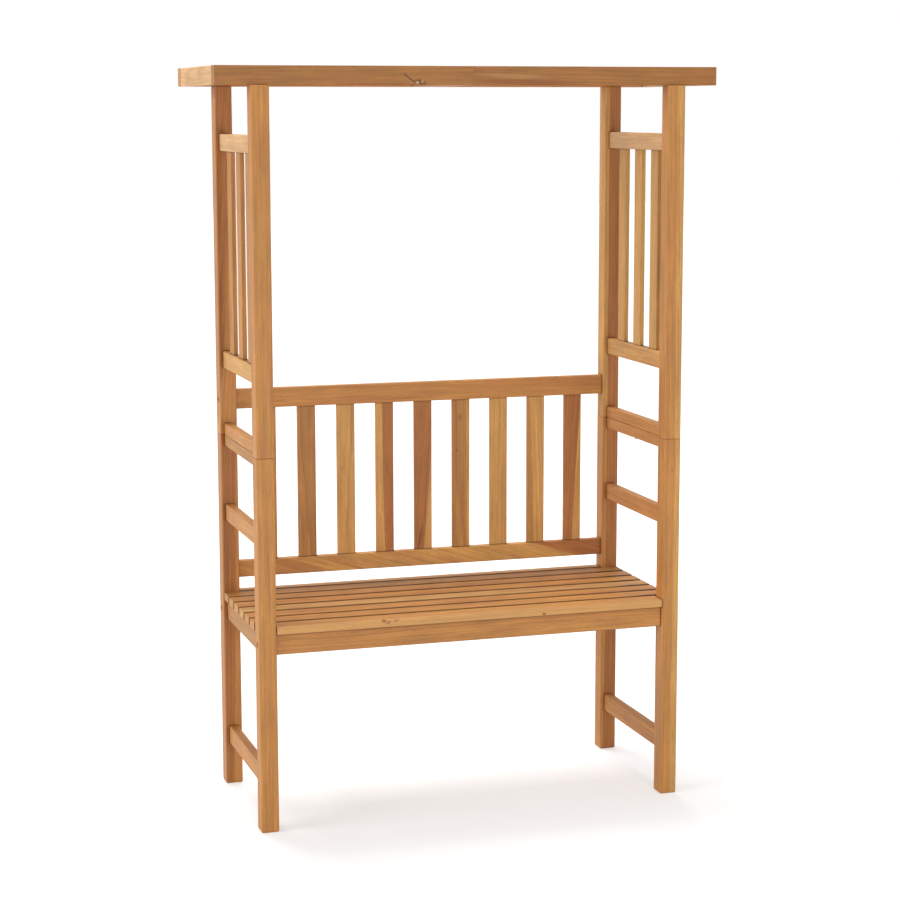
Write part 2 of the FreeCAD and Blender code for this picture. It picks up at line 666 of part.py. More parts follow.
def barrel_nuts():
    """Round cross nuts in the rails, each with a hole for its bolt."""
    nut = round_bar("barrel_nut", "barrel_nut_diameter", "-barrel_nut_length / 2",
                    "barrel_nut_length")
    hole_along_x(nut, 1, "barrel_nut_diameter / 2", "0", "bolt_diameter", "barrel_nut_diameter")
    group("barrel_nuts", nut,
          [(f"{side} * (cross_rail_length / 2 - barrel_nut_setback)", y, z, TO_REAR)
           for z, y in BOLTED_RAILS for side in (-1, 1)])


def joining_screws():
    """Hexagon screws that join upper to lower side frames, and the halves of the roof."""
    screw = headed_pin("joining_screw", "joining_screw_diameter", "joining_screw_length")
    upright = [(f"{side} * post_x", "0", "post_joint_height - stacked_rail_height", NO_TURN)
               for side in (-1, 1)]
    level = [("-middle_board_thickness", f"{end} * joining_screw_spread",
              "post_top + beam_height / 2", TO_RIGHT) for end in (-1, 1)]
    group("joining_screws", screw, upright + level)


def check():
    """Stops if anything failed to build."""
    failed = [thing.Name for thing in doc.Objects if {"Invalid", "Error"} & set(thing.State)]
    failed += [node.Name for node in nodes if node.Shape.isNull() or not node.Shape.isValid()]
    if failed:
        raise RuntimeError("not built: " + ", ".join(failed))


def export():
    """Writes one file for each node."""
    os.makedirs("parts", exist_ok=True)
    for node in nodes:
        node.Shape.exportStep(f"parts/{node.Label}.step")


for word, side in (("left", -1), ("right", 1)):
    for where, end in (("front", -1), ("rear", 1)):
        lower_post(f"{where}_{word}_lower_post", side, end)
        upper_post(f"{where}_{word}_upper_post", side, end)
    side_frame(word, side)
seat()
back()
roof()
panel_slats()
roof_slats()
rail_bolts()
barrel_nuts()
joining_screws()
doc.recompute()
check()
export()
print(len(nodes), "nodes,", sum(len(node.Shape.Solids) for node in nodes), "solids")
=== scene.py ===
import math
import random

import bpy
from mathutils import Matrix, Vector


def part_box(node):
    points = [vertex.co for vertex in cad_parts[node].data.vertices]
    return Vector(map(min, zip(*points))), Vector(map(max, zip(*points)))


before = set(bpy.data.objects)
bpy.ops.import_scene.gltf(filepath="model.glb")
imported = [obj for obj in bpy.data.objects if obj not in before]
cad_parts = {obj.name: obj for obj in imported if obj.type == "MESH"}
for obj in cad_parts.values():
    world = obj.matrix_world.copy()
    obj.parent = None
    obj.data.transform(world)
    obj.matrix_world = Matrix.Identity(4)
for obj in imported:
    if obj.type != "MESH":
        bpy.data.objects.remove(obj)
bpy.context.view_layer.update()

bl_info = {
    "name": "Arbour Seat Finish",
    "version": (1, 0, 0),
    "blender": (4, 5, 0),
    "location": "3D View > Sidebar > Arbour Seat",
    "description": "Oiled teak, zinc-plated fixings and a plain studio for the arbour seat",
    "category": "Object",
}

MM = 0.001

# Sizes of the patterns in a board's log, in millimetres: twice across the grain, then along it.
DRIFT_SIZE = (70.0, 70.0, 600.0)
BAND_SIZE = (22.0, 22.0, 240.0)
PORE_SIZE = (0.8, 0.8, 18.0)
# How far the drift pushes the rings out of round.
DRIFT_REACH = 26.0
# Streaks of light and shade: their size, then how dark and how light they make the wood.
STREAKS = (
    ((26.0, 26.0, 110.0), 0.88, 1.10),
    ((7.0, 7.0, 240.0), 0.84, 1.13),
    ((1.6, 1.6, 90.0), 0.90, 1.08),
)
# How soft the border between two colours of wood is, on either side.
BORDER_BLUR = 1.2
# Where in its log a board's middle lies: its distance from the heart, and its place along the log.
NEAREST_TO_HEART = 45.0
FARTHEST_FROM_HEART = 110.0
FARTHEST_ALONG_LOG = 9000.0
# Farther from the heart than any board reaches, so that a plain board shows no border.
NO_BORDER = 5000.0
# The grouped slats of one node come from places this far apart in their log.
SLAT_SPREAD = (150.0, 150.0, 900.0)
OILED_WOOD_IOR = 1.46
# Depths and sizes in metres.
PORE_RELIEF = 0.12 * MM
ZINC_CRYSTAL = 1.8 * MM
PAPER_TOOTH = 4 * MM

# Half size, in millimetres, of a stain that runs through the whole board.
THROUGHOUT = 9000.0
# Half size, in metres, of the painted shade along an edge that faces a gap, and half its width.
ALONG_EDGE = 9.0
GAP_SHADE_HALF = 0.5 * MM

FIXINGS = ("rail_bolts", "barrel_nuts", "joining_screws")
# Nodes that draw no line of painted shade on others: fixings, and slats whose one box spans the
# whole roof.
NO_LINE = (*FIXINGS, "roof_slats")
# Boards meet when they come this close.
TOUCH = 0.6 * MM
# How much of its line of painted shade a close fit hides, and the kinds of pieces that fit closely.
TIGHT = 1.6 * MM
TIGHT_PAIRS = ({"post"}, {"post", "beam"}, {"beam"}, {"frame"})

AXES = {"X": Vector((1.0, 0.0, 0.0)), "Y": Vector((0.0, 1.0, 0.0)), "Z": Vector((0.0, 0.0, 1.0))}

# Spacing of the slats that share a node, in millimetres.
PANEL_SLAT_PITCH = 96.15
ROOF_SLAT_PITCH = 111.7
# Side of the paper floor, in metres, and width of the camera's sensor, in millimetres.
FLOOR_SIZE = 60.0
SENSOR_WIDTH = 36.0


def linear(code):
    """Turns an sRGB hex colour such as #C38C54 to linear red, green and blue."""
    parts = [int(code[place:place + 2], 16) / 255 for place in (1, 3, 5)]
    return tuple(
        part / 12.92 if part <= 0.04045 else ((part + 0.055) / 1.055) ** 2.4 for part in parts)


def rgba(colour):
    return (*colour, 1.0)


class TeakLook(bpy.types.PropertyGroup):
    """What a board cut from solid teak and oiled looks like."""

    golden_light: bpy.props.FloatVectorProperty(
        name="Golden, early wood", description="Spring wood in a bright board",
        subtype="COLOR", default=linear("#D6A158"))
    golden_dark: bpy.props.FloatVectorProperty(
        name="Golden, late wood", description="Late wood in a bright board",
        subtype="COLOR", default=linear("#BE8442"))
    honey_light: bpy.props.FloatVectorProperty(
        name="Honey, early wood", description="Spring wood in the common tone",
        subtype="COLOR", default=linear("#C88A45"))
    honey_dark: bpy.props.FloatVectorProperty(
        name="Honey, late wood", description="Late wood in the common tone",
        subtype="COLOR", default=linear("#AC6D32"))
    pale_light: bpy.props.FloatVectorProperty(
        name="Pale, early wood", description="Spring wood in a board cut near the sapwood",
        subtype="COLOR", default=linear("#DDB07A"))
    pale_dark: bpy.props.FloatVectorProperty(
        name="Pale, late wood", description="Late wood in a board cut near the sapwood",
        subtype="COLOR", default=linear("#C89660"))
    umber_light: bpy.props.FloatVectorProperty(
        name="Umber, early wood", description="Spring wood in a duller, browner board",
        subtype="COLOR", default=linear("#BA8341"))
    umber_dark: bpy.props.FloatVectorProperty(
        name="Umber, late wood", description="Late wood in a duller, browner board",
        subtype="COLOR", default=linear("#9C682F"))
    russet_light: bpy.props.FloatVectorProperty(
        name="Russet, early wood", description="Spring wood in a reddish heartwood board",
        subtype="COLOR", default=linear("#B27136"))
    russet_dark: bpy.props.FloatVectorProperty(
        name="Russet, late wood", description="Late wood in a reddish heartwood board",
        subtype="COLOR", default=linear("#925526"))
    amber_light: bpy.props.FloatVectorProperty(
        name="Amber, early wood", description="Spring wood in the seat's warmer slats",
        subtype="COLOR", default=linear("#D4923E"))
    amber_dark: bpy.props.FloatVectorProperty(
        name="Amber, late wood", description="Late wood in the seat's warmer slats",
        subtype="COLOR", default=linear("#B8762C"))
    tawny_light: bpy.props.FloatVectorProperty(
        name="Tawny, early wood", description="Spring wood in the roof's weathered beams",
        subtype="COLOR", default=linear("#AA7237"))
    tawny_dark: bpy.props.FloatVectorProperty(
        name="Tawny, late wood", description="Late wood in the roof's weathered beams",
        subtype="COLOR", default=linear("#905A2A"))
    blush: bpy.props.FloatVectorProperty(
        name="Blush", description="Broad soft bands of reddish colour along the grain",
        subtype="COLOR", default=linear("#AA663A"))
    pore: bpy.props.FloatVectorProperty(
        name="Pore", description="Open vessels, dark with oil",
        subtype="COLOR", default=linear("#5E3A20"))
    # Painted shade for joint lines and gaps between slats, and also the colour of drying cracks and
    # chips.
    joint: bpy.props.FloatVectorProperty(
        name="Joint line", description="Shade and oil in the line where two boards meet",
        subtype="COLOR", default=linear("#4A2A14"))
    knot: bpy.props.FloatVectorProperty(
        name="Knot", description="Small pin knots and drying cracks",
        subtype="COLOR", default=linear("#70401E"))
    shade_line_width: bpy.props.FloatProperty(
        name="Joint line width",
        description="How far the joint line's shade spreads, in millimetres",
        default=3.4, min=0.5, max=10.0)
    shade_line_depth: bpy.props.FloatProperty(
        name="Joint line depth", description="How much of the joint line's colour shows",
        subtype="FACTOR", default=0.68, min=0.0, max=1.0)
    ring_width: bpy.props.FloatProperty(
        name="Ring width", description="One year's growth, in millimetres",
        default=5.5, min=1.0, max=12.0)
    roughness: bpy.props.FloatProperty(
        name="Roughness", description="Sanded and oiled, not varnished",
        subtype="FACTOR", default=0.56, min=0.0, max=1.0)


class SteelLook(bpy.types.PropertyGroup):
    """The bolts, barrel nuts and screws."""

    zinc: bpy.props.FloatVectorProperty(
        name="Zinc plate", description="Clear-passivated zinc on steel",
        subtype="COLOR", default=linear("#B9BDC1"))
    roughness: bpy.props.FloatProperty(
        name="Roughness", description="Dull plating",
        subtype="FACTOR", default=0.38, min=0.0, max=1.0)


class StudioLook(bpy.types.PropertyGroup):
    """The camera, lamps and floor of the picture."""

    camera_place: bpy.props.FloatVectorProperty(
        name="Camera place", description="Where the lens stands",
        subtype="TRANSLATION", unit="LENGTH", default=(-1.4713, -4.7571, 1.5579))
    camera_yaw: bpy.props.FloatProperty(
        name="Yaw", description="How far the camera looks to the right of the bench's depth",
        subtype="ANGLE", default=math.radians(17.282))
    camera_pitch: bpy.props.FloatProperty(
        name="Pitch", description="How far the camera looks down",
        subtype="ANGLE", default=math.radians(8.745))
    camera_roll: bpy.props.FloatProperty(
        name="Roll", description="Tilt of the picture",
        subtype="ANGLE", default=math.radians(-0.101))
    focal_length: bpy.props.FloatProperty(
        name="Focal length", description="On a 36 mm wide sensor",
        unit="CAMERA", default=88.47)
    floor_colour: bpy.props.FloatVectorProperty(
        name="Floor", description="Matt white paper",
        subtype="COLOR", default=linear("#E4E4E4"))
    room_light: bpy.props.FloatProperty(
        name="Room light", description="Even light from all round", default=0.45, min=0.0)
    key_power: bpy.props.FloatProperty(
        name="Key lamp", description="Large soft lamp on the left",
        unit="POWER", default=970.0, min=0.0)
    fill_power: bpy.props.FloatProperty(
        name="Fill lamp", description="Soft lamp in front of the seat",
        unit="POWER", default=58.0, min=0.0)
    top_power: bpy.props.FloatProperty(
        name="Top lamp", description="Soft lamp above and behind the seat",
        unit="POWER", default=150.0, min=0.0)


def add(tree, kind, settings=None, sockets=None, stops=()):
    """Adds a node: its settings, its sockets' numbers or links, and the stops of a colour ramp."""
    node = tree.nodes.new(kind)
    for name, value in (settings or {}).items():
        setattr(node, name, value)
    for socket, value in (sockets or {}).items():
        if isinstance(value, bpy.types.NodeSocket):
            tree.links.new(value, node.inputs[socket])
        else:
            node.inputs[socket].default_value = value
    for number, (place, colour) in enumerate(stops):
        ramp = node.color_ramp.elements
        stop = ramp[number] if number < 2 else ramp.new(place)
        stop.position = place
        stop.color = colour
    return node


def grey(level):
    return (level, level, level, 1.0)


def pattern_scale(size):
    """The scale that gives a pattern this size in each direction."""
    return tuple(1 / extent for extent in size)


def solid_teak_group():
    """Solid teak seen at any point of a log whose heart runs along Z, in millimetres.

    The eye gets growth rings that turn to soft stripes on a sawn face, broad reddish bands, a clear
    border between two colours of wood, fine fibre and short dark pores, and end grain where a board
    is cut across. Pores and fibre are drawn two or three times too coarse, so that they show.
    """
    look = bpy.context.scene.teak_look
    tree = bpy.data.node_groups.new("solid_teak", "ShaderNodeTree")
    for name, kind in (
        ("Place", "NodeSocketVector"),
        ("Early wood", "NodeSocketColor"), ("Late wood", "NodeSocketColor"),
        ("Outer early wood", "NodeSocketColor"), ("Outer late wood", "NodeSocketColor"),
        ("Border radius", "NodeSocketFloat"), ("Banding", "NodeSocketFloat"),
    ):
        tree.interface.new_socket(name=name, in_out="INPUT", socket_type=kind)
    for name, kind in (
        ("Colour", "NodeSocketColor"), ("Roughness", "NodeSocketFloat"),
        ("Height", "NodeSocketFloat"),
    ):
        tree.interface.new_socket(name=name, in_out="OUTPUT", socket_type=kind)
    given = add(tree, "NodeGroupInput")
    place = given.outputs["Place"]

    # No log is round: a slow drift pushes its rings about.
    drifting = add(tree, "ShaderNodeMapping", {},
                   {"Vector": place, "Scale": pattern_scale(DRIFT_SIZE)})
    drift = add(tree, "ShaderNodeTexNoise", {},
                {"Vector": drifting.outputs[0], "Scale": 1.0, "Detail": 2.0})
    centred = add(tree, "ShaderNodeVectorMath", {"operation": "SUBTRACT"},
                  {0: drift.outputs["Color"], 1: (0.5, 0.5, 0.5)})
    push = add(tree, "ShaderNodeVectorMath", {"operation": "MULTIPLY"},
               {0: centred.outputs[0], 1: (DRIFT_REACH, DRIFT_REACH, 0.0)})
    pushed = add(tree, "ShaderNodeVectorMath", {"operation": "ADD"},
                 {0: place, 1: push.outputs[0]})
    grown = pushed.outputs[0]
    reaches = []
    for point in (place, grown):
        flat = add(tree, "ShaderNodeVectorMath", {"operation": "MULTIPLY"},
                   {0: point, 1: (1.0, 1.0, 0.0)})
        length = add(tree, "ShaderNodeVectorMath", {"operation": "LENGTH"}, {0: flat.outputs[0]})
        reaches.append(length.outputs["Value"])
    even_reach, reach = reaches

    # Wide and narrow years, each with late wood of its own strength.
    years = add(tree, "ShaderNodeMath", {"operation": "DIVIDE"}, {0: reach, 1: look.ring_width})
    pace = add(tree, "ShaderNodeTexNoise", {"noise_dimensions": "1D"},
               {"W": years.outputs[0], "Scale": 0.35, "Detail": 1.0})
    age = add(tree, "ShaderNodeMath", {"operation": "MULTIPLY_ADD"},
              {0: pace.outputs["Fac"], 1: 2.4, 2: years.outputs[0]})
    season = add(tree, "ShaderNodeMath", {"operation": "FRACT"}, {0: age.outputs[0]})
    year = add(tree, "ShaderNodeMath", {"operation": "FLOOR"}, {0: age.outputs[0]})
    weather = add(tree, "ShaderNodeTexWhiteNoise", {"noise_dimensions": "1D"},
                  {"W": year.outputs[0]})
    strength = add(tree, "ShaderNodeMapRange", {},
                   {"Value": weather.outputs["Value"], "To Min": 0.15, "To Max": 0.85})
    ring = add(tree, "ShaderNodeValToRGB", {}, {"Fac": season.outputs[0]},
               stops=((0.0, grey(0.15)), (0.30, grey(0.0)), (0.70, grey(0.35)), (0.92, grey(1.0)),
                      (1.0, grey(0.15))))
    lateness = add(tree, "ShaderNodeMath", {"operation": "MULTIPLY"},
                   {0: ring.outputs["Color"], 1: strength.outputs[0]})

    # Two colours of wood, with a border that follows the rings in part.
    inner = add(tree, "ShaderNodeMix", {"data_type": "RGBA"},
                {"Factor": lateness.outputs[0], "A": given.outputs["Early wood"],
                 "B": given.outputs["Late wood"]})
    outer = add(tree, "ShaderNodeMix", {"data_type": "RGBA"},
                {"Factor": lateness.outputs[0], "A": given.outputs["Outer early wood"],
                 "B": given.outputs["Outer late wood"]})
    edge = add(tree, "ShaderNodeMix", {}, {"Factor": 0.3, "A": even_reach, "B": reach})
    past = add(tree, "ShaderNodeMath", {"operation": "SUBTRACT"},
               {0: edge.outputs["Result"], 1: given.outputs["Border radius"]})
    outside = add(tree, "ShaderNodeMapRange", {"interpolation_type": "SMOOTHSTEP"},
                  {"Value": past.outputs[0], "From Min": -BORDER_BLUR, "From Max": BORDER_BLUR})
    wood = add(tree, "ShaderNodeMix", {"data_type": "RGBA"},
               {"Factor": outside.outputs[0], "A": inner.outputs["Result"],
                "B": outer.outputs["Result"]})

    # Broad reddish bands.
    banded = add(tree, "ShaderNodeMapping", {},
                 {"Vector": grown, "Scale": pattern_scale(BAND_SIZE)})
    band = add(tree, "ShaderNodeTexNoise", {},
               {"Vector": banded.outputs[0], "Scale": 1.0, "Detail": 3.0, "Roughness": 0.55})
    reddened = add(tree, "ShaderNodeMapRange", {"interpolation_type": "SMOOTHSTEP"},
                   {"Value": band.outputs["Fac"], "From Min": 0.42, "From Max": 0.64,
                    "To Max": 0.8})
    blushing = add(tree, "ShaderNodeMath", {"operation": "MULTIPLY"},
                   {0: reddened.outputs[0], 1: given.outputs["Banding"]})
    blushed = add(tree, "ShaderNodeMix", {"data_type": "RGBA"},
                  {"Factor": blushing.outputs[0], "A": wood.outputs["Result"],
                   "B": rgba(look.blush)})

    # Streaks of light and shade, the finest of which are the fibre.
    shades = []
    for size, darkest, lightest in STREAKS:
        streaked = add(tree, "ShaderNodeMapping", {},
                       {"Vector": grown, "Scale": pattern_scale(size)})
        streak = add(tree, "ShaderNodeTexNoise", {},
                     {"Vector": streaked.outputs[0], "Scale": 1.0, "Detail": 2.0,
                      "Roughness": 0.6})
        shade = add(tree, "ShaderNodeMapRange", {},
                    {"Value": streak.outputs["Fac"], "From Min": 0.28, "From Max": 0.72,
                     "To Min": darkest, "To Max": lightest})
        shades.append(shade.outputs[0])
    fibre = streak.outputs["Fac"]
    shading = shades[0]
    for shade in shades[1:]:
        product = add(tree, "ShaderNodeMath", {"operation": "MULTIPLY"}, {0: shading, 1: shade})
        shading = product.outputs[0]
    fibred = add(tree, "ShaderNodeVectorMath", {"operation": "SCALE"},
                 {0: blushed.outputs["Result"], "Scale": shading})

    # Short dark pores that crowd in early wood.
    pitted = add(tree, "ShaderNodeMapping", {},
                 {"Vector": grown, "Scale": pattern_scale(PORE_SIZE)})
    vessel = add(tree, "ShaderNodeTexNoise", {},
                 {"Vector": pitted.outputs[0], "Scale": 1.0, "Detail": 1.0})
    opened = add(tree, "ShaderNodeMapRange", {"interpolation_type": "SMOOTHSTEP"},
                 {"Value": vessel.outputs["Fac"], "From Min": 0.60, "From Max": 0.70})
    in_ring = add(tree, "ShaderNodeMapRange", {},
                  {"Value": season.outputs[0], "From Max": 0.45, "To Min": 1.0, "To Max": 0.25})
    pores = add(tree, "ShaderNodeMath", {"operation": "MULTIPLY"},
                {0: opened.outputs[0], 1: in_ring.outputs[0]})
    pore_dark = add(tree, "ShaderNodeMath", {"operation": "MULTIPLY"},
                    {0: pores.outputs[0], 1: 0.55})
    finished = add(tree, "ShaderNodeMix", {"data_type": "RGBA"},
                   {"Factor": pore_dark.outputs[0], "A": fibred.outputs[0], "B": rgba(look.pore)})

    # Pores are duller than the wood and lie deeper.
    dull = add(tree, "ShaderNodeMath", {"operation": "MULTIPLY_ADD"},
               {0: pores.outputs[0], 1: 0.22, 2: look.roughness - 0.06})
    satin = add(tree, "ShaderNodeMath", {"operation": "MULTIPLY_ADD"},
                {0: fibre, 1: 0.12, 2: dull.outputs[0]})
    height = add(tree, "ShaderNodeMath", {"operation": "MULTIPLY_ADD"},
                 {0: pores.outputs[0], 1: -0.8, 2: fibre})
    add(tree, "NodeGroupOutput", {},
        {"Colour": finished.outputs["Result"], "Roughness": satin.outputs[0],
         "Height": height.outputs[0]})


def painted_joint_shade_group():
    """A thin dark line of painted shade round the place where another board meets this one."""
    look = bpy.context.scene.teak_look
    tree = bpy.data.node_groups.new("joint_shade", "ShaderNodeTree")
    for name, kind in (
        ("Wood", "NodeSocketColor"), ("Place", "NodeSocketVector"), ("Middle", "NodeSocketVector"),
        ("Half size", "NodeSocketVector"),
    ):
        tree.interface.new_socket(name=name, in_out="INPUT", socket_type=kind)
    tree.interface.new_socket(name="Colour", in_out="OUTPUT", socket_type="NodeSocketColor")
    given = add(tree, "NodeGroupInput")
    offset = add(tree, "ShaderNodeVectorMath", {"operation": "SUBTRACT"},
                 {0: given.outputs["Place"], 1: given.outputs["Middle"]})
    folded = add(tree, "ShaderNodeVectorMath", {"operation": "ABSOLUTE"}, {0: offset.outputs[0]})
    beyond = add(tree, "ShaderNodeVectorMath", {"operation": "SUBTRACT"},
                 {0: folded.outputs[0], 1: given.outputs["Half size"]})
    outside = add(tree, "ShaderNodeVectorMath", {"operation": "MAXIMUM"},
                  {0: beyond.outputs[0], 1: (0.0, 0.0, 0.0)})
    away = add(tree, "ShaderNodeVectorMath", {"operation": "LENGTH"}, {0: outside.outputs[0]})
    amount = add(tree, "ShaderNodeMapRange", {"interpolation_type": "SMOOTHSTEP"},
                 {"Value": away.outputs["Value"], "From Min": look.shade_line_width * MM,
                  "From Max": 0.0, "To Min": 0.0, "To Max": look.shade_line_depth})
    shaded = add(tree, "ShaderNodeMix", {"data_type": "RGBA"},
                 {"Factor": amount.outputs[0], "A": given.outputs["Wood"], "B": rgba(look.joint)})
    add(tree, "NodeGroupOutput", {}, {"Colour": shaded.outputs["Result"]})


def meetings(board):
    """The middle and half size of every place where this board and another one meet, in metres."""
    spaces = []
    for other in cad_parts:
        if other == board or other in NO_LINE:
            continue
        pair = sorted((board, other), key=lambda name: -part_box(name)[0].z)
        lows, highs = zip(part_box(pair[0]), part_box(pair[1]))
        start = Vector([max(values) for values in zip(*lows)])
        end = Vector([min(values) for values in zip(*highs)])
        if min(end - start) < -TOUCH:
            continue
        for piece, host in (pair, pair[::-1]):
            (low, high), (host_low, host_high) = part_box(piece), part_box(host)
            size = high - low
            host_size = host_high - host_low
            along = max(range(3), key=lambda axis: size[axis])
            whole = all(end[axis] - start[axis] > min(size[axis], host_size[axis]) - TOUCH
                        for axis in range(3) if axis != along)
            if whole and end[along] - start[along] < size[along] / 2:
                # A tenoned end: what shows of the joint is the line at its shoulder.
                upward = (low + high)[along] > (start + end)[along]
                start[along] = end[along] = host_high[along] if upward else host_low[along]
                break
        half = (end - start) / 2
        kinds = {word for word in ("post", "beam", "frame") if word in board + other}
        if kinds in TIGHT_PAIRS and all(any(word in name for word in kinds) for name in pair):
            # Pieces that meet end to end or lie on each other fit closely: a fainter line of
            # painted shade.
            half = Vector([extent if extent > MM else -TIGHT for extent in half])
        spaces.append(((start + end) / 2, half))
    return spaces


def stain(tree, colour, coordinates, tint, depth, place, reach, tilt):
    """Colour that fades out at the skin of an ellipsoid in the wood.

    Its place and its reach, which is half its size, are in millimetres and its tilt in degrees.
    """
    local = add(tree, "ShaderNodeMapping", {"vector_type": "TEXTURE"},
                {"Vector": coordinates, "Location": place * MM,
                 "Rotation": (0.0, math.radians(tilt), 0.0), "Scale": Vector(reach) * MM})
    away = add(tree, "ShaderNodeVectorMath", {"operation": "LENGTH"}, {0: local.outputs[0]})
    amount = add(tree, "ShaderNodeMapRange", {"interpolation_type": "SMOOTHSTEP"},
                 {"Value": away.outputs["Value"], "From Min": 1.0, "From Max": 0.35, "To Min": 0.0,
                  "To Max": depth})
    mixed = add(tree, "ShaderNodeMix", {"data_type": "RGBA"},
                {"Factor": amount.outputs[0], "A": colour, "B": rgba(tint)})
    return mixed.outputs["Result"]


def log_frame(luck, grain, width, length, outer):
    """How a board lay in its log.

    The answer is the turn from the seat's axes to the log's, the place of the board's middle there,
    and how far from the heart its outer wood begins.
    """
    along = AXES[grain]
    from_heart = luck.uniform(NEAREST_TO_HEART, FARTHEST_FROM_HEART)
    if outer:
        _, side, low_share, high_share = outer
        outward = AXES[side[1]] * (1.0 if side[0] == "+" else -1.0)
        slope = (low_share - high_share) * width / length
        border = from_heart + (0.5 - (low_share + high_share) / 2) * width
    else:
        across = along.orthogonal().normalized()
        outward = Matrix.Rotation(luck.uniform(0.0, 2 * math.pi), 3, along) @ across
        slope = luck.uniform(-0.02, 0.02)
        border = NO_BORDER
    heartline = (along + slope * outward).normalized()
    radial = (outward - outward.dot(heartline) * heartline).normalized()
    turn = Matrix((radial, heartline.cross(radial), heartline))
    start = Vector((from_heart, 0.0, luck.uniform(-FARTHEST_ALONG_LOG, FARTHEST_ALONG_LOG)))
    return turn, start, border


def teak(board, grain, tone, banding, outer, painted_gap_shade, stains, pitch):
    """Solid teak for one board: sawn from its own place in a log, sanded smooth and oiled."""
    look = bpy.context.scene.teak_look
    luck = random.Random(board)
    material = bpy.data.materials.new(f"oiled_teak_{board}")
    material.use_nodes = True
    tree = material.node_tree
    shader = tree.nodes["Principled BSDF"]

    low, high = (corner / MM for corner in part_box(board))
    size = high - low
    width = size["XYZ".index(outer[1][1])] if outer else 0.0
    turn, start, border = log_frame(luck, grain, width, size["XYZ".index(grain)], outer)
    coordinates = add(tree, "ShaderNodeTexCoord").outputs["Object"]
    sawn = add(tree, "ShaderNodeMapping", {},
               {"Vector": coordinates, "Scale": (1 / MM, 1 / MM, 1 / MM),
                "Rotation": turn.to_euler(), "Location": start - turn @ ((low + high) / 2)})
    place = sawn.outputs[0]
    tint = None
    # Slats that share a node come from different places in the log, and differ a little in tone.
    if pitch:
        axis, step = pitch
        parts = add(tree, "ShaderNodeSeparateXYZ", {}, {0: coordinates})
        count = add(tree, "ShaderNodeMath", {"operation": "MULTIPLY_ADD"},
                    {0: parts.outputs[axis], 1: 1 / (step * MM), 2: 0.5})
        cell = add(tree, "ShaderNodeMath", {"operation": "FLOOR"}, {0: count.outputs[0]})
        chance = add(tree, "ShaderNodeTexWhiteNoise", {"noise_dimensions": "1D"},
                     {"W": cell.outputs[0]})
        shifted = add(tree, "ShaderNodeVectorMath", {"operation": "MULTIPLY_ADD"},
                      {0: chance.outputs["Color"], 1: SLAT_SPREAD, 2: place})
        place = shifted.outputs[0]
        tint = add(tree, "ShaderNodeMapRange", {},
                   {"Value": chance.outputs["Value"], "To Min": 0.90, "To Max": 1.07}).outputs[0]

    outer_tone = outer[0] if outer else tone
    wood = add(tree, "ShaderNodeGroup", {"node_tree": bpy.data.node_groups["solid_teak"]},
               {"Place": place, "Early wood": rgba(getattr(look, f"{tone}_light")),
                "Late wood": rgba(getattr(look, f"{tone}_dark")),
                "Outer early wood": rgba(getattr(look, f"{outer_tone}_light")),
                "Outer late wood": rgba(getattr(look, f"{outer_tone}_dark")),
                "Border radius": border, "Banding": banding})
    colour = wood.outputs["Colour"]
    if tint:
        colour = add(tree, "ShaderNodeVectorMath", {"operation": "SCALE"},
                     {0: colour, "Scale": tint}).outputs[0]
    lower_front = Vector(((low.x + high.x) / 2, low.y, low.z))
    for tone_name, depth, spot, reach, tilt in stains:
        colour = stain(tree, colour, coordinates, getattr(look, tone_name), depth,
                       lower_front + Vector(spot), reach, tilt)
    spaces = meetings(board)
    # Painted shade on a front edge that faces a gap between slats.
    if painted_gap_shade:
        front = Vector((0.0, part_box(board)[0].y, 0.0))
        spaces.append((front, Vector((ALONG_EDGE, GAP_SHADE_HALF, ALONG_EDGE))))
    # Painted shade: a thin dark line round every place where another board meets this one.
    for middle, half in spaces:
        shaded = add(tree, "ShaderNodeGroup", {"node_tree": bpy.data.node_groups["joint_shade"]},
                     {"Wood": colour, "Place": coordinates, "Middle": middle, "Half size": half})
        colour = shaded.outputs["Colour"]
    relief = add(tree, "ShaderNodeBump", {},
                 {"Height": wood.outputs["Height"], "Distance": PORE_RELIEF, "Strength": 0.6})
    tree.links.new(colour, shader.inputs["Base Color"])
    tree.links.new(wood.outputs["Roughness"], shader.inputs["Roughness"])
    tree.links.new(relief.outputs[0], shader.inputs["Normal"])
    shader.inputs["IOR"].default_value = OILED_WOOD_IOR
    return material


def finish(board, grain, tone, banding, outer=None, painted_gap_shade=False, stains=(), pitch=None):
    """Gives one of the seat's boards its own piece of teak.

    Outer is the tone of its outer wood, the side it lies on and its share of the width at each
    end. Painted gap shade darkens a front edge that faces a gap. A stain has a tone, a depth, a
    place that is measured from the middle of the board's lower front edge, half sizes and a tilt in
    degrees.
    Pitch is the axis and spacing of slats that share a node.
    """
    material = teak(board, grain, tone, banding, outer, painted_gap_shade, stains, pitch)
    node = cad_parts[board]
    node.data.materials.clear()
    node.data.materials.append(material)


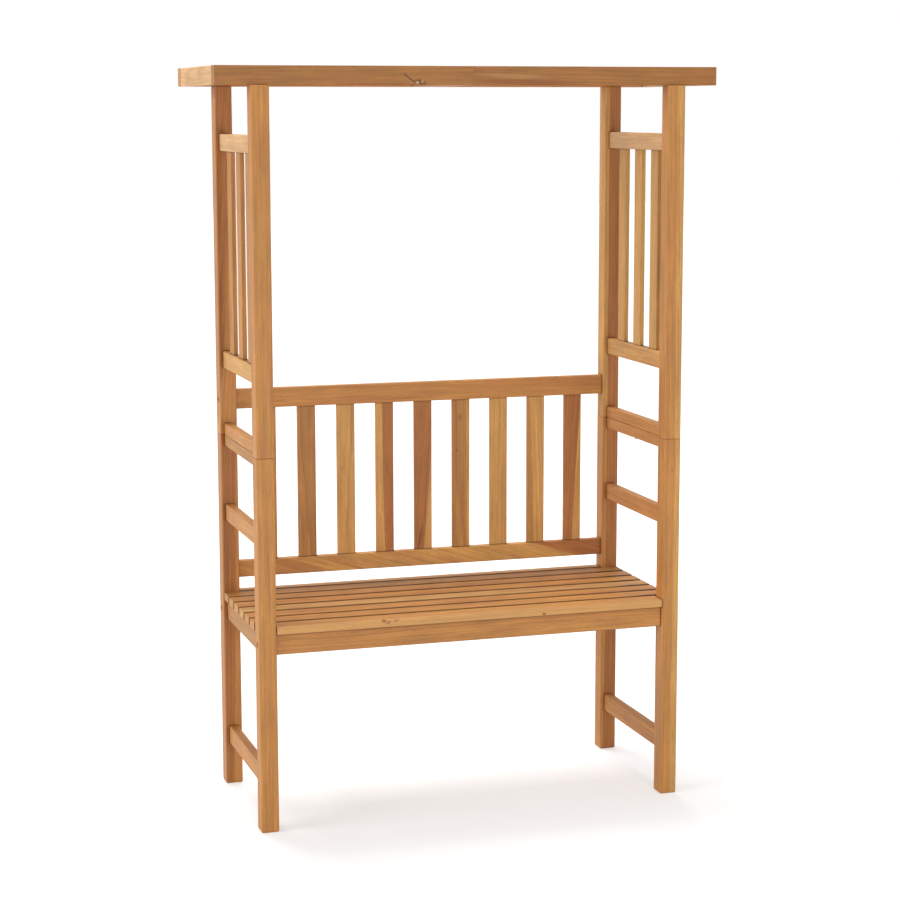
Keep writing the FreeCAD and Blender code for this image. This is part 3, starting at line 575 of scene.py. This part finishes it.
class ARBOUR_OT_posts(bpy.types.Operator):
    """Finish the four lower and four upper posts"""

    bl_idname = "arbour.posts"
    bl_label = "Posts"

    def execute(self, context):
        finish("front_left_lower_post", "Z", "honey", 0.1)
        finish("front_left_upper_post", "Z", "honey", 0.3)
        finish("front_right_lower_post", "Z", "honey", 0.2, outer=("golden", "+X", 0.35, 0.30))
        finish("front_right_upper_post", "Z", "honey", 0.4, outer=("golden", "+X", 0.30, 0.35))
        # Painted light: the rear left posts' outer face is painted paler.
        low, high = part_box("rear_left_lower_post")
        outer_side = (low.x - high.x) / 2 / MM
        painted_pale_side = (
            ("pale_light", 0.2, (outer_side, 0.0, 0.0), (5.0, THROUGHOUT, THROUGHOUT), 0.0),
        )
        finish("rear_left_lower_post", "Z", "russet", 0.3, outer=("honey", "+X", 0.45, 0.05),
               stains=painted_pale_side)
        finish("rear_left_upper_post", "Z", "russet", 0.3, outer=("honey", "+X", 1.1, -0.5),
               stains=painted_pale_side)
        finish("rear_right_lower_post", "Z", "russet", 0.3, outer=("honey", "-X", 0.16, 0.20))
        finish("rear_right_upper_post", "Z", "russet", 0.3, outer=("golden", "-X", 0.20, 0.16))
        return {"FINISHED"}


class ARBOUR_OT_side_frames(bpy.types.Operator):
    """Finish the stretchers, arm rails, side rails and upright slats of both side frames"""

    bl_idname = "arbour.side_frames"
    bl_label = "Side frames"

    def execute(self, context):
        for side in ("left", "right"):
            for rail, tone, banding in (
                ("foot_stretcher", "honey", 0.3), ("arm_rail", "honey", 0.2),
                ("upper_frame_bottom_rail", "honey", 0.2), ("panel_lower_rail", "golden", 0.3),
                ("panel_top_rail", "pale", 0.2),
            ):
                finish(f"{side}_{rail}", "Y", tone, banding)
        for side, rail_tone, slat_tone in (
            ("left", "umber", "honey"), ("right", "honey", "golden"),
        ):
            finish(f"{side}_seat_side_rail", "Y", rail_tone, 0.2)
            finish(f"{side}_lower_frame_top_rail", "Y", rail_tone, 0.3)
            finish(f"{side}_panel_slats", "Z", slat_tone, 0.2, pitch=("Y", PANEL_SLAT_PITCH))
        return {"FINISHED"}


class ARBOUR_OT_seat(bpy.types.Operator):
    """Finish the seat's rails, bearer and slats"""

    bl_idname = "arbour.seat"
    bl_label = "Seat"

    def execute(self, context):
        # The first slat's shadow lies along the rail's upper edge.
        finish("seat_front_rail", "X", "honey", 0.2, stains=(
            ("joint", 0.55, (0.0, 0.0, 48.0), (THROUGHOUT, 30.0, 9.0), 0.0),
        ))
        finish("seat_rear_rail", "X", "honey", 0.4)
        finish("seat_centre_bearer", "Y", "honey", 0.3)
        # A painted highlight on the nose, a group of three small knots on the left and a single one
        # on the right.
        finish("seat_slat_1", "X", "amber", 0.2, stains=(
            ("pale_light", 0.4, (0.0, -2.0, 8.0), (THROUGHOUT, 12.0, 30.0), 0.0),
            ("knot", 0.65, (-208.0, 0.0, 14.0), (9.0, 8.0, 5.0), 20.0),
            ("knot", 0.55, (-197.0, 0.0, 10.0), (8.0, 8.0, 4.0), -35.0),
            ("knot", 0.4, (-180.0, 0.0, 13.0), (9.0, 8.0, 3.5), -20.0),
            ("knot", 0.8, (163.0, 0.0, 3.5), (6.0, 8.0, 4.0), 0.0),
        ))
        # Painted shade: each gap is darkest at its right end, beside the side rail.
        painted_end_shade = (("joint", 0.85, (447.0, 0.0, 9.0), (60.0, 7.0, 30.0), 0.0),)
        for number, tone, banding in (
            (2, "amber", 0.4), (3, "amber", 0.6), (4, "golden", 0.5), (5, "amber", 0.6),
            (6, "honey", 0.2), (7, "umber", 0.2),
        ):
            finish(f"seat_slat_{number}", "X", tone, banding, painted_gap_shade=True, stains=painted_end_shade)
        finish("rear_seat_slat", "X", "umber", 0.2, painted_gap_shade=True)
        return {"FINISHED"}


class ARBOUR_OT_back(bpy.types.Operator):
    """Finish the back's two rails and nine upright slats"""

    bl_idname = "arbour.back"
    bl_label = "Back"

    def execute(self, context):
        finish("back_bottom_rail", "X", "golden", 0.6, outer=("russet", "+Z", -6.0, 1.7), stains=(
            ("russet_light", 0.5, (-400.0, -0.5, 19.5), (170.0, 90.0, 60.0), 0.0),
        ))
        finish("back_top_rail", "X", "honey", 0.4)
        # A dark streak beside the border in slat 5, and two faint knots in slat 6.
        marks = {
            5: (("knot", 0.75, (-9.0, 4.5, 35.0), (5.0, 20.0, 48.0), 9.0),),
            6: (("knot", 0.4, (-1.85, 4.5, 322.0), (7.0, 20.0, 10.0), 20.0),
                ("knot", 0.5, (-10.85, 4.5, 243.0), (5.0, 20.0, 6.0), 0.0)),
        }
        for number, tone, banding, outer in (
            (1, "honey", 0.4, None),
            (2, "umber", 0.5, None),
            (3, "golden", 0.4, None),
            (4, "russet", 0.3, ("golden", "-X", 0.50, 0.35)),
            (5, "russet", 0.3, ("golden", "+X", 0.50, -0.25)),
            (6, "umber", 0.6, ("golden", "+X", 0.12, 0.20)),
            (7, "golden", 0.2, None),
            (8, "golden", 0.3, ("umber", "-X", 0.45, 0.10)),
            (9, "russet", 0.2, ("golden", "+X", 0.50, 0.05)),
        ):
            finish(f"back_slat_{number}", "Z", tone, banding, outer=outer,
                   stains=marks.get(number, ()))
        return {"FINISHED"}


class ARBOUR_OT_roof(bpy.types.Operator):
    """Finish the roof's beams, boards and slats"""

    bl_idname = "arbour.roof"
    bl_label = "Roof"

    def execute(self, context):
        # A drying crack that runs down to a chipped knot, and darker along the lower edge.
        finish("front_left_roof_beam", "X", "tawny", 0.3, stains=(
            ("joint", 0.85, (140.0, 0.0, 12.5), (20.0, 30.0, 2.4), 37.0),
            ("knot", 0.8, (130.0, 0.0, 20.0), (9.0, 30.0, 4.0), 37.0),
            ("joint", 0.8, (161.0, 0.0, 5.5), (18.0, 30.0, 9.0), 10.0),
            ("pale_light", 0.8, (155.5, 0.0, 5.0), (5.5, 30.0, 4.5), 10.0),
            ("pale_light", 0.7, (166.0, 0.0, 7.0), (3.5, 30.0, 4.5), 10.0),
            ("russet_dark", 0.75, (71.0, 0.0, 0.5), (150.0, 30.0, 5.0), 0.0),
        ))
        finish("front_right_roof_beam", "X", "tawny", 0.5, stains=(
            ("russet_dark", 0.8, (-161.0, 0.0, 5.0), (170.0, 30.0, 8.0), 1.5),
            ("pale_dark", 0.35, (-186.0, 0.0, 19.0), (110.0, 30.0, 7.0), 2.5),
        ))
        finish("rear_left_roof_beam", "X", "honey", 0.4)
        finish("rear_right_roof_beam", "X", "honey", 0.4)
        for side in ("left", "right"):
            finish(f"{side}_roof_end_board", "Y", "pale", 0.1)
            finish(f"{side}_roof_middle_board", "Y", "honey", 0.3)
        finish("roof_slats", "Y", "honey", 0.4, pitch=("X", ROOF_SLAT_PITCH))
        return {"FINISHED"}


def zinc_plated_steel():
    """Steel with a clear-passivated zinc plate: a dull grey metal with faint crystal mottling."""
    look = bpy.context.scene.steel_look
    material = bpy.data.materials.new("zinc_plated_steel")
    material.use_nodes = True
    tree = material.node_tree
    shader = tree.nodes["Principled BSDF"]
    coordinates = add(tree, "ShaderNodeTexCoord").outputs["Object"]
    mottle = add(tree, "ShaderNodeTexNoise", {},
                 {"Vector": coordinates, "Scale": 1 / ZINC_CRYSTAL, "Detail": 3.0})
    tint = add(tree, "ShaderNodeMapRange", {},
               {"Value": mottle.outputs["Fac"], "To Min": 0.85, "To Max": 1.1})
    colour = add(tree, "ShaderNodeVectorMath", {"operation": "SCALE"},
                 {0: tuple(look.zinc), "Scale": tint.outputs[0]})
    rough = add(tree, "ShaderNodeMapRange", {},
                {"Value": mottle.outputs["Fac"], "To Min": look.roughness - 0.08,
                 "To Max": look.roughness + 0.12})
    tree.links.new(colour.outputs[0], shader.inputs["Base Color"])
    tree.links.new(rough.outputs[0], shader.inputs["Roughness"])
    shader.inputs["Metallic"].default_value = 1.0
    return material


class ARBOUR_OT_fixings(bpy.types.Operator):
    """Finish the bolts, barrel nuts and joining screws"""

    bl_idname = "arbour.fixings"
    bl_label = "Fixings"

    def execute(self, context):
        steel = zinc_plated_steel()
        for name in FIXINGS:
            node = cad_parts[name]
            node.data.materials.clear()
            node.data.materials.append(steel)
        return {"FINISHED"}


def seen_directly(tree):
    """One for light that the camera sees straight, mirrored or through glass, else nought."""
    path = add(tree, "ShaderNodeLightPath")
    mirrored = add(tree, "ShaderNodeMath", {"operation": "MAXIMUM"},
                   {0: path.outputs["Is Camera Ray"], 1: path.outputs["Is Glossy Ray"]})
    either = add(tree, "ShaderNodeMath", {"operation": "MAXIMUM"},
                 {0: mirrored.outputs[0], 1: path.outputs["Is Transmission Ray"]})
    return either.outputs[0]


def studio_paper():
    """Matt white paper: it takes the seat's shadow and otherwise burns out to white."""
    look = bpy.context.scene.studio_look
    material = bpy.data.materials.new("matt_white_paper")
    material.use_nodes = True
    tree = material.node_tree
    output = tree.nodes["Material Output"]
    tree.nodes.remove(tree.nodes["Principled BSDF"])
    coordinates = add(tree, "ShaderNodeTexCoord").outputs["Object"]
    tooth = add(tree, "ShaderNodeTexNoise", {},
                {"Vector": coordinates, "Scale": 1 / PAPER_TOOTH, "Detail": 2.0})
    tint = add(tree, "ShaderNodeMapRange", {},
               {"Value": tooth.outputs["Fac"], "To Min": 0.985, "To Max": 1.0})
    colour = add(tree, "ShaderNodeVectorMath", {"operation": "SCALE"},
                 {0: tuple(look.floor_colour), "Scale": tint.outputs[0]})
    paper = add(tree, "ShaderNodeBsdfDiffuse", {}, {"Color": colour.outputs[0]})
    # Glow that only the eye sees grows with the distance from the seat, so the edges burn out.
    away = add(tree, "ShaderNodeVectorMath", {"operation": "LENGTH"}, {0: coordinates})
    burn = add(tree, "ShaderNodeMapRange", {"interpolation_type": "SMOOTHSTEP"},
               {"Value": away.outputs["Value"], "From Min": 0.8, "From Max": 4.0, "To Min": 0.45,
                "To Max": 0.85})
    lift = add(tree, "ShaderNodeMath", {"operation": "MULTIPLY"},
               {0: seen_directly(tree), 1: burn.outputs[0]})
    glow = add(tree, "ShaderNodeEmission", {}, {"Strength": lift.outputs[0]})
    both = add(tree, "ShaderNodeAddShader", {}, {0: paper.outputs[0], 1: glow.outputs[0]})
    tree.links.new(both.outputs[0], output.inputs["Surface"])
    return material


def lamp(name, place, target, width, height, power):
    """A soft box that points at a place on the seat."""
    light = bpy.data.lights.new(name, "AREA")
    light.shape = "RECTANGLE"
    light.size = width
    light.size_y = height
    light.energy = power
    holder = bpy.data.objects.new(name, light)
    holder.location = place
    holder.rotation_euler = (Vector(target) - Vector(place)).to_track_quat("-Z", "Y").to_euler()
    holder.visible_camera = False
    bpy.context.scene.collection.objects.link(holder)


class ARBOUR_OT_studio(bpy.types.Operator):
    """Set up the floor, the soft lamps and the camera"""

    bl_idname = "arbour.studio"
    bl_label = "Studio"

    def execute(self, context):
        scene = context.scene
        look = scene.studio_look
        scene.view_settings.view_transform = "Standard"

        bpy.ops.object.select_all(action="DESELECT")
        bpy.ops.mesh.primitive_plane_add(size=FLOOR_SIZE, location=(0.0, 0.0, 0.0))
        floor = context.object
        floor.name = "paper_floor"
        floor.data.materials.append(studio_paper())

        world = bpy.data.worlds.new("soft_studio")
        world.use_nodes = True
        tree = world.node_tree
        background = tree.nodes["Background"]
        background.inputs["Color"].default_value = rgba((1.0, 1.0, 1.0))
        seen = seen_directly(tree)
        strength = add(tree, "ShaderNodeMapRange", {},
                       {"Value": seen, "To Min": look.room_light, "To Max": 1.0})
        tree.links.new(strength.outputs[0], background.inputs["Strength"])
        scene.world = world

        lamp("key_soft_box", place=(-14.5, -2.4, 4.8), target=(0.0, 0.0, 0.8),
             width=8.0, height=6.5, power=look.key_power)
        lamp("fill_soft_box", place=(0.4, -4.6, 0.7), target=(0.0, 0.0, 0.8),
             width=2.2, height=1.2, power=look.fill_power)
        lamp("top_soft_box", place=(-0.3, 2.0, 4.8), target=(0.0, 0.0, 0.6),
             width=2.8, height=2.2, power=look.top_power)

        ahead = Vector((math.sin(look.camera_yaw) * math.cos(look.camera_pitch),
                        math.cos(look.camera_yaw) * math.cos(look.camera_pitch),
                        -math.sin(look.camera_pitch)))
        level_right = Vector((math.cos(look.camera_yaw), -math.sin(look.camera_yaw), 0.0))
        level_up = level_right.cross(ahead)
        roll = Matrix.Rotation(look.camera_roll, 3, -ahead)
        camera = bpy.data.cameras.new("picture_camera")
        camera.sensor_width = SENSOR_WIDTH
        camera.lens = look.focal_length
        holder = bpy.data.objects.new("picture_camera", camera)
        axes = Matrix((roll @ level_right, roll @ level_up, -ahead)).transposed()
        holder.matrix_world = Matrix.Translation(look.camera_place) @ axes.to_4x4()
        scene.collection.objects.link(holder)
        scene.camera = holder
        return {"FINISHED"}


class ARBOUR_PT_seat(bpy.types.Panel):
    """Finishes the seat step by step"""

    bl_idname = "ARBOUR_PT_seat"
    bl_label = "Arbour Seat"
    bl_space_type = "VIEW_3D"
    bl_region_type = "UI"
    bl_category = "Arbour Seat"

    def draw(self, context):
        layout = self.layout
        for step in STEPS:
            layout.operator(step.bl_idname)
        for look in (context.scene.teak_look, context.scene.steel_look, context.scene.studio_look):
            column = layout.column()
            for name in look.bl_rna.properties.keys():
                if name not in ("rna_type", "name"):
                    column.prop(look, name)


STEPS = (
    ARBOUR_OT_posts,
    ARBOUR_OT_side_frames,
    ARBOUR_OT_seat,
    ARBOUR_OT_back,
    ARBOUR_OT_roof,
    ARBOUR_OT_fixings,
    ARBOUR_OT_studio,
)
LOOKS = {"teak_look": TeakLook, "steel_look": SteelLook, "studio_look": StudioLook}


def register():
    for kind in (*LOOKS.values(), *STEPS, ARBOUR_PT_seat):
        bpy.utils.register_class(kind)
    for name, kind in LOOKS.items():
        setattr(bpy.types.Scene, name, bpy.props.PointerProperty(type=kind))


def unregister():
    for name in LOOKS:
        delattr(bpy.types.Scene, name)
    for kind in reversed((*LOOKS.values(), *STEPS, ARBOUR_PT_seat)):
        bpy.utils.unregister_class(kind)


def main():
    register()
    solid_teak_group()
    painted_joint_shade_group()
    bpy.ops.arbour.posts()
    bpy.ops.arbour.side_frames()
    bpy.ops.arbour.seat()
    bpy.ops.arbour.back()
    bpy.ops.arbour.roof()
    bpy.ops.arbour.fixings()
    bpy.ops.arbour.studio()


if __name__ == "__main__":
    main()
